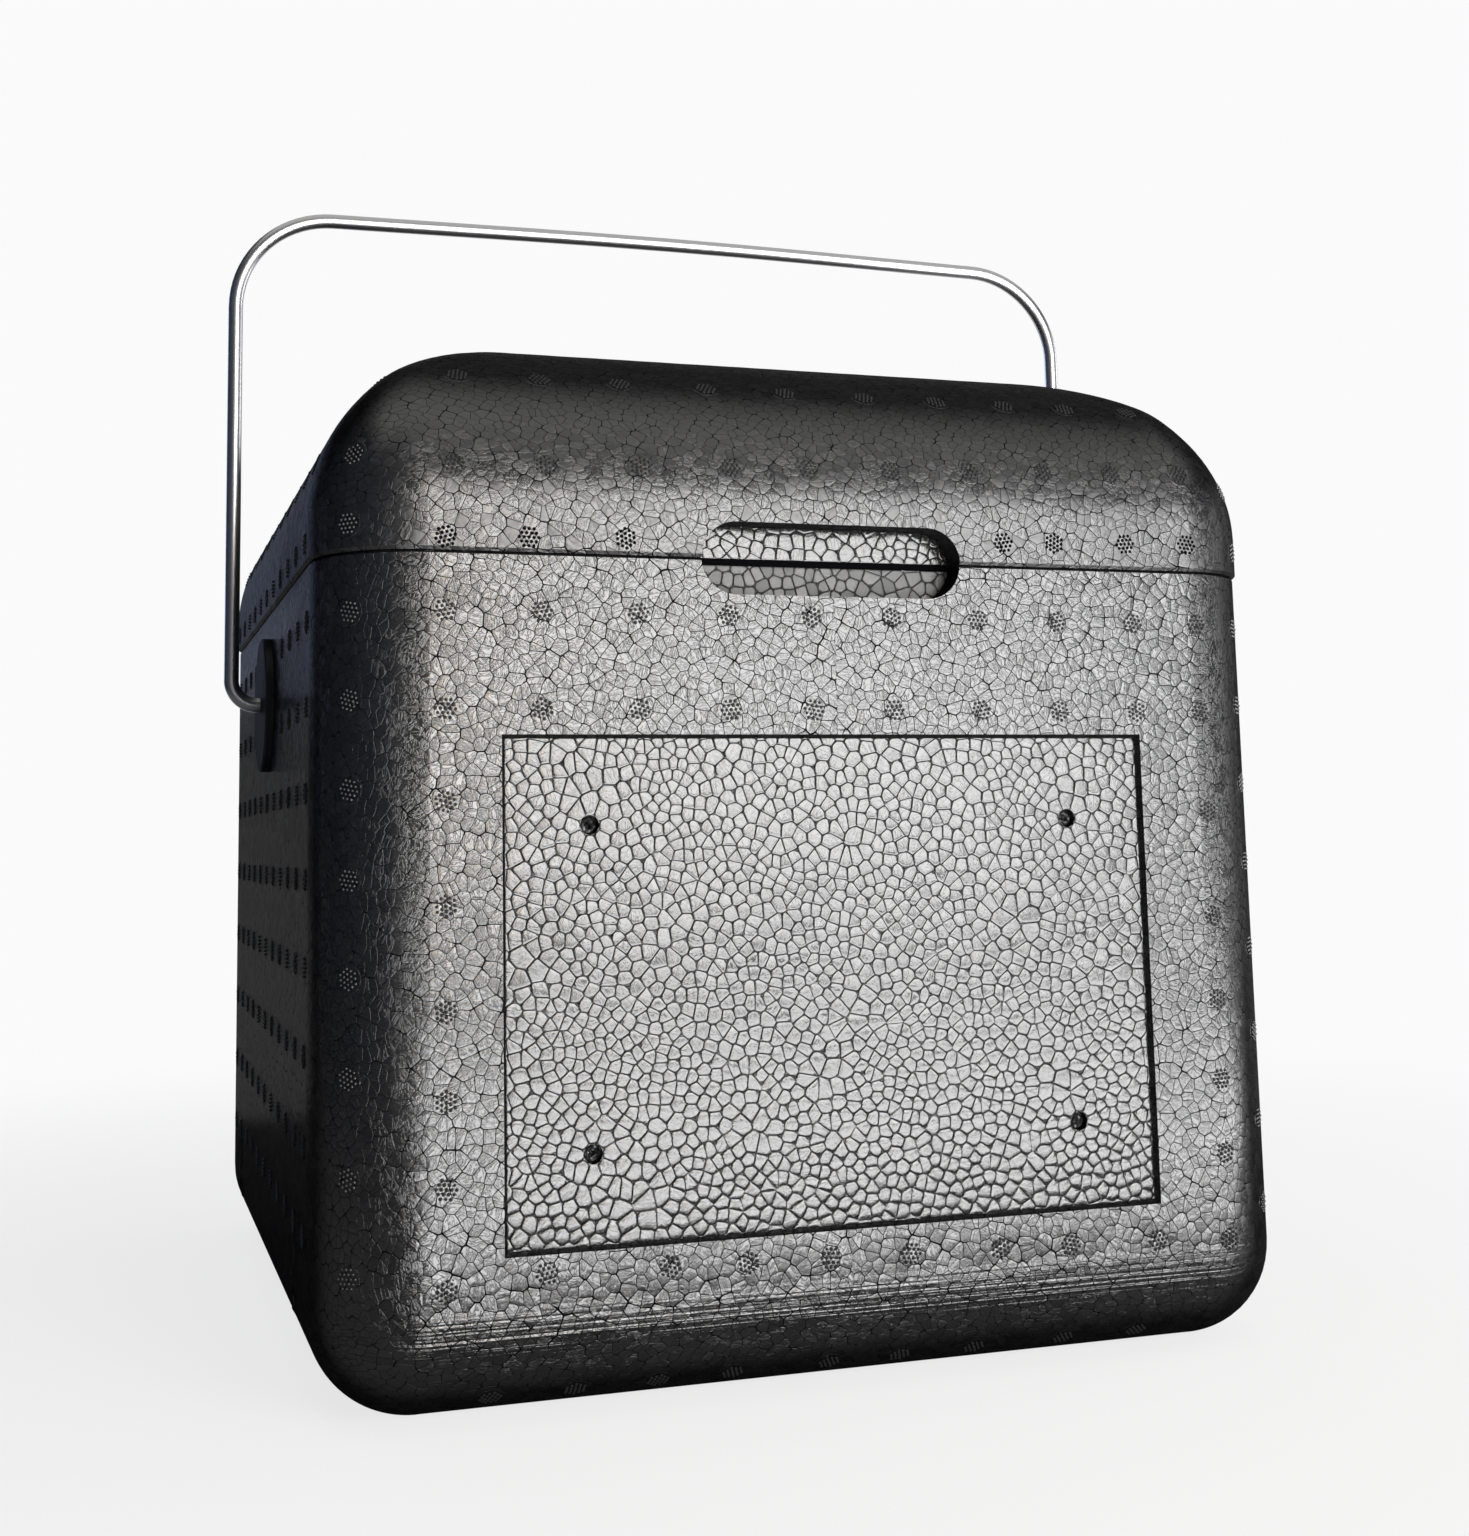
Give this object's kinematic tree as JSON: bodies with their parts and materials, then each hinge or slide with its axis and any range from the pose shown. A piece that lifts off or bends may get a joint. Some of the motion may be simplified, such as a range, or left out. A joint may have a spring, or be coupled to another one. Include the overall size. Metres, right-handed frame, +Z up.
{
  "type": "insulated milk delivery box",
  "caption": "Foam milk delivery box with a lift-off domed lid, a front finger notch, a recessed front panel and a swinging wire carrying handle.",
  "frame": {"origin": "centre of the underside of the tub, on the surface it stands on", "axes": "+Z up, the front with its notch and recessed panel faces -Y, and the handle's pivots lie along X"},
  "size_m": [0.3616, 0.35, 0.4227],
  "materials": {
    "foam_tub": "satin",
    "foam_lid": "satin",
    "wire": "satin",
    "hub_plastic": "satin",
    "plate_plastic": "satin",
    "cap_steel": "satin"
  },
  "bodies": {
    "tub": {"tub": "foam_tub", "left_hub": "hub_plastic", "right_hub": "hub_plastic", "left_backing_plate": "plate_plastic", "right_backing_plate": "plate_plastic"},
    "lid": {"lid": "foam_lid"},
    "handle": {"handle": "wire", "left_retaining_cap": "cap_steel", "right_retaining_cap": "cap_steel"}
  },
  "joints": [
    {"name": "lid_lift", "type": "slide", "parent": "tub", "child": "lid", "axis": [0, 0, 1], "range_m": [0, 0.06]},
    {"name": "handle_swing", "type": "hinge", "parent": "tub", "child": "handle", "pos_m": [0, 0, 0.2245], "axis": [1, 0, 0], "range_deg": [-113, 113]}
  ]
}
